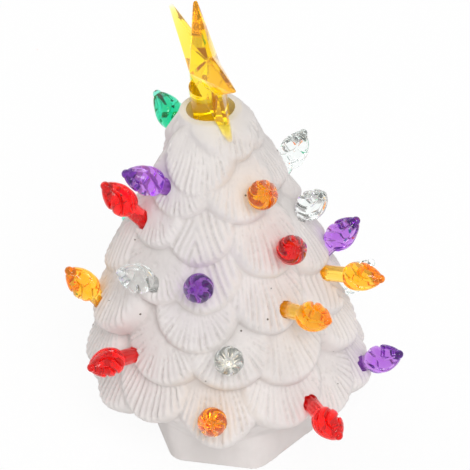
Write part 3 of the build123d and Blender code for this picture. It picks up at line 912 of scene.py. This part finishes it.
# The star's painted glow colour, what its plastic lets through, how densely it is dyed and how strongly its
# painted glow shines
STAR_COLOR = ((1.0, 0.55, 0.01), (0.985, 0.95, 0.03), 560, 0.07)
finish(star, clear_plastic("yellow_plastic", *STAR_COLOR), STAR_SMOOTH_ANGLE)
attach(star, "star")
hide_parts("star_topper")

# Lamp in the foot
# A white plastic puck with a screwed cover, a bayonet cap over the coin cell and a slide switch.
# Its pieces keep their turned and milled shapes and take moulded, metal and board finishes with faint wear.
LAMP_SHINE = 75
LAMP_WARMTH = (1.0, 0.94, 0.84)
LAMP_LIT = {"Emission_Color": opaque(LAMP_WARMTH), "Emission_Strength": LAMP_SHINE}
BARE_METAL = {"Metallic": 1.0}

# Finishes: colour, wear marks per metre, roughness, how far that varies, depth of the wear, other constants
LAMP_FINISHES = {
    "white_plastic": ((0.80, 0.80, 0.78), 1200, 0.45, 0.2, 0.05, {}),
    "black_plastic": ((0.025, 0.025, 0.025), 1500, 0.4, 0.2, 0.05, {}),
    "steel": ((0.62, 0.62, 0.62), 2500, 0.3, 0.2, 0.02, BARE_METAL),
    "brass": ((0.78, 0.58, 0.26), 2500, 0.3, 0.2, 0.02, BARE_METAL),
    "board": ((0.04, 0.20, 0.08), 900, 0.5, 0.2, 0.03, {}),
    "lamp_plastic": ((0.95, 0.95, 0.92), 800, 0.12, 0.1, 0.02, LAMP_LIT),
}
LAMP_PIECES = {
    "light_housing": "white_plastic",
    "base_cover": "white_plastic",
    "battery_cap": "white_plastic",
    "cover_screws": "steel",
    "coin_cell": "steel",
    "circuit_board": "board",
    "top_contact": "brass",
    "side_contact": "brass",
    "led_lamp": "lamp_plastic",
    "switch_body": "black_plastic",
    "switch_slider": "black_plastic",
}
WEAR_DARKENING = 0.82
WEAR_EDGES = (0.3, 0.75)
WEAR_STRENGTH = 0.2


def worn(name, color, scale, roughness, spread, depth, constants):
    """A material with its colour, gloss and surface varied finely over the piece."""
    surface = material(name, color, roughness, **constants)
    shading = surface.node_tree
    cloud = texture(shading, "ShaderNodeTexNoise", Scale=scale, Detail=6)["Fac"]
    darker = tuple(WEAR_DARKENING * part for part in color)
    feed(shading, "Base Color", mix_color(shading, cloud.ramp(*WEAR_EDGES), darker, color))
    feed(shading, "Roughness", cloud * spread + (roughness - spread / 2))
    relief(shading, cloud, depth, WEAR_STRENGTH)
    return surface


finishes = {name: worn(name, *look) for name, look in LAMP_FINISHES.items()}
for node, finish_name in LAMP_PIECES.items():
    cad_piece = frame["nodes"][node]
    cad_piece.data.materials.clear()
    cad_piece.data.materials.append(finishes[finish_name])

# Stage
# A white floor and a white surround, lit softly from above the camera. The camera sees the floor a little
# whiter than it is lit, so that only a pale shadow is left.
FLOOR_REACH = 3.0
FLOOR_PAINT = (0.96, 0.96, 0.96)
FLOOR_ROUGHNESS = 0.9
FLOOR_WHITE = 0.9
SURROUND_STRENGTH = 0.56
WHITE = (1, 1, 1)

# Suns: strength, spread and the way that the light goes
SUNS = {
    "key": (1.45, 28, (-0.22, 0.85, -0.85)),
    "back_fill": (0.6, 60, (0.4, -0.85, -0.7)),
}
floor_corners = [(x * FLOOR_REACH, y * FLOOR_REACH, 0) for x, y in ((-1, -1), (1, -1), (1, 1), (-1, 1))]
floor = new_object("floor", floor_corners, [(0, 1, 2, 3)])


def seen_white(shading, lit, white, target, share):
    """Lets camera, mirror and glass rays see the white in place of what is lit there."""
    rays = add_node(shading, "ShaderNodeLightPath")
    seen = rays["Is Camera Ray"].larger(rays["Is Glossy Ray"]).larger(rays["Is Transmission Ray"])
    sockets = {"Fac": share * seen, "Shader": Value(shading, lit.outputs[0]), "Shader_001": white}
    chosen = add_node(shading, "ShaderNodeMixShader", sockets)
    shading.links.new(chosen["Shader"].output, target.inputs["Surface"])


floor_paint = material("floor", FLOOR_PAINT, FLOOR_ROUGHNESS, Specular_IOR_Level=0.0)
shading = floor_paint.node_tree
white = add_node(shading, "ShaderNodeEmission", {"Color": opaque(WHITE), "Strength": 1.0})["Emission"]
seen_white(shading, shading.nodes["Principled BSDF"], white, shading.nodes["Material Output"], FLOOR_WHITE)
floor.data.materials.append(floor_paint)

world = bpy.data.worlds.new("surround")
bpy.context.scene.world = world
world.use_nodes = True
shading = world.node_tree
surround = shading.nodes["Background"]
surround.inputs["Color"].default_value = opaque(WHITE)
surround.inputs["Strength"].default_value = SURROUND_STRENGTH
white = add_node(shading, "ShaderNodeBackground", {"Color": opaque(WHITE), "Strength": 1.0})["Background"]
seen_white(shading, surround, white, shading.nodes["World Output"], 1.0)

for name, (strength, spread, heading) in SUNS.items():
    light = bpy.data.lights.new(name, "SUN")
    light.energy = strength
    light.angle = math.radians(spread)
    holder = bpy.data.objects.new(name, light)
    bpy.context.scene.collection.objects.link(holder)
    holder.rotation_euler = Vector(heading).to_track_quat("-Z", "Y").to_euler()

# Camera
# It stands where the photograph was taken from, fitted to the foot, the rim and the tiers of boughs.
# Its distance is in metres, and its focal length is in pixels of the photograph.
CAMERA_DISTANCE = 0.7
CAMERA_ELEVATION = math.radians(36.73)
CAMERA_ROLL = math.radians(-4.13)
CAMERA_AIM = Vector((4.256, 0.0, 68.825)) * MM
FOCAL_PIXELS = 2410.5
IMAGE_PIXELS = 470
SENSOR_WIDTH = 36.0
camera_data = bpy.data.cameras.new("camera")
camera_data.sensor_width = SENSOR_WIDTH
camera_data.lens = FOCAL_PIXELS / IMAGE_PIXELS * SENSOR_WIDTH
camera = bpy.data.objects.new("camera", camera_data)
bpy.context.scene.collection.objects.link(camera)
backward = Vector((0, -math.cos(CAMERA_ELEVATION), math.sin(CAMERA_ELEVATION)))
level_right = Vector((1, 0, 0))
level_up = backward.cross(level_right)
right = level_right * math.cos(CAMERA_ROLL) + level_up * math.sin(CAMERA_ROLL)
camera.matrix_world = frame_of(
    CAMERA_AIM + backward * CAMERA_DISTANCE, right, backward.cross(right), backward
)
bpy.context.scene.camera = camera
bpy.context.scene.view_settings.view_transform = "Standard"
